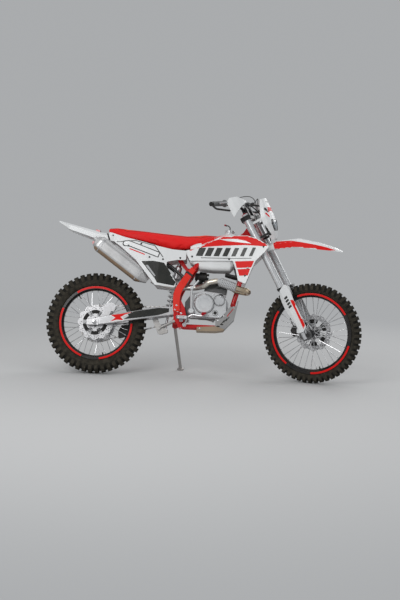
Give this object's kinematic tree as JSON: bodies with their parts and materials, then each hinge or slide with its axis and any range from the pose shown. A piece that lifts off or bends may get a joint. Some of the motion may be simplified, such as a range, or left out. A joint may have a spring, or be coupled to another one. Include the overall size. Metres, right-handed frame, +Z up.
{
  "type": "dirt bike",
  "caption": "Single-cylinder off-road motorcycle with spoked knobbly wheels, red and white panels and an upside-down fork, leaning on its side stand.",
  "frame": {"origin": "on the floor, under the middle of the bounding box, with the bike leaning on its stand", "axes": "+X towards the front wheel, +Y to the rider's left, +Z up; the bike leans 11 degrees to its left and its bars are turned 20 degrees to the right"},
  "size_m": [2.1514, 0.8055, 1.2468],
  "materials": {
    "bare_steel": "bare",
    "black_plastic": "moulded",
    "black_rim": "gloss black",
    "black_rubber": "smooth rubber",
    "bright_steel": "zinc-plated",
    "brushed_aluminium": "brushed",
    "cast_aluminium": "fine cast, painted silver",
    "chain_steel": "oiled",
    "dark_casting": "dark casting",
    "disc_steel": "ground",
    "fork_silver": "anodised silver",
    "frame_red": "gloss red paint",
    "grip_rubber": "ribbed",
    "guard_red": "glossy red plastic",
    "heated_steel": "heat-tinted",
    "hub_aluminium": "machined",
    "lamp_glass": "clear lens",
    "plate_aluminium": "brushed plate",
    "radiator_aluminium": "cored",
    "red_lens": "clear red",
    "satin_black": "satin black",
    "seat_cover": "red grained vinyl",
    "slider_steel": "polished",
    "tyre_rubber": "knobbly, dusty",
    "white_plastic": "gloss white"
  },
  "bodies": {
    "chassis": {"brake_pedal": "satin_black", "chain": "chain_steel", "chain_guide": "black_plastic", "cylinder": "dark_casting", "engine_cases": "cast_aluminium", "engine_covers": "cast_aluminium", "foot_pegs": "bright_steel", "frame": "frame_red", "frame_guards": "guard_red", "front_sprocket": "chain_steel", "fuel_cap": "black_plastic", "fuel_tank": "white_plastic", "gear_lever": "satin_black", "header_pipe": "heated_steel", "intake": "black_rubber", "kick_starter": "bright_steel", "pivot_bolt": "bright_steel", "radiators": "radiator_aluminium", "rear_axle": "bright_steel", "rear_caliper": "satin_black", "rear_fender": "white_plastic", "seat": "seat_cover", "shock": "satin_black", "shock_linkage": "brushed_aluminium", "shrouds": "white_plastic", "side_panels": "white_plastic", "silencer": "brushed_aluminium", "skid_plate": "plate_aluminium", "subframe": "satin_black", "swing_arm": "brushed_aluminium", "tail_light": "red_lens"},
    "steering": {"brake_hose": "black_rubber", "controls": "satin_black", "fork_clamps": "satin_black", "fork_guards": "white_plastic", "fork_sliders": "slider_steel", "fork_tubes": "fork_silver", "front_axle": "bright_steel", "front_caliper": "satin_black", "front_fender": "white_plastic", "grips": "grip_rubber", "hand_guards": "white_plastic", "handlebar": "satin_black", "headlight": "lamp_glass", "number_mask": "white_plastic"},
    "front_wheel": {"front_disc": "disc_steel", "front_hub": "hub_aluminium", "front_rim": "black_rim", "front_tyre": "tyre_rubber"},
    "rear_wheel": {"rear_disc": "disc_steel", "rear_hub": "hub_aluminium", "rear_rim": "black_rim", "rear_sprocket": "chain_steel", "rear_tyre": "tyre_rubber"},
    "side_stand": {"side_stand": "bare_steel"}
  },
  "joints": [
    {"name": "steering", "type": "hinge", "parent": "chassis", "child": "steering", "pos_m": [0.36416, -0.06879, 0.93468], "axis": [-0.4787, 0.1677, 0.8618], "range_deg": [-22, 62]},
    {"name": "front_wheel_spin", "type": "hinge", "parent": "steering", "child": "front_wheel", "pos_m": [0.7465, -0.20086, 0.34194], "axis": [0.3006, 0.9536, -0.0186], "continuous": true},
    {"name": "rear_wheel_spin", "type": "hinge", "parent": "chassis", "child": "rear_wheel", "pos_m": [-0.73195, -0.18391, 0.34048], "axis": [0.0003, 0.9816, -0.1908], "continuous": true},
    {"name": "side_stand_fold", "type": "hinge", "parent": "chassis", "child": "side_stand", "pos_m": [-0.19794, -0.05502, 0.33369], "axis": [-0.1829, 0.9831, -0.0019], "range_deg": [0, 115.61]}
  ]
}
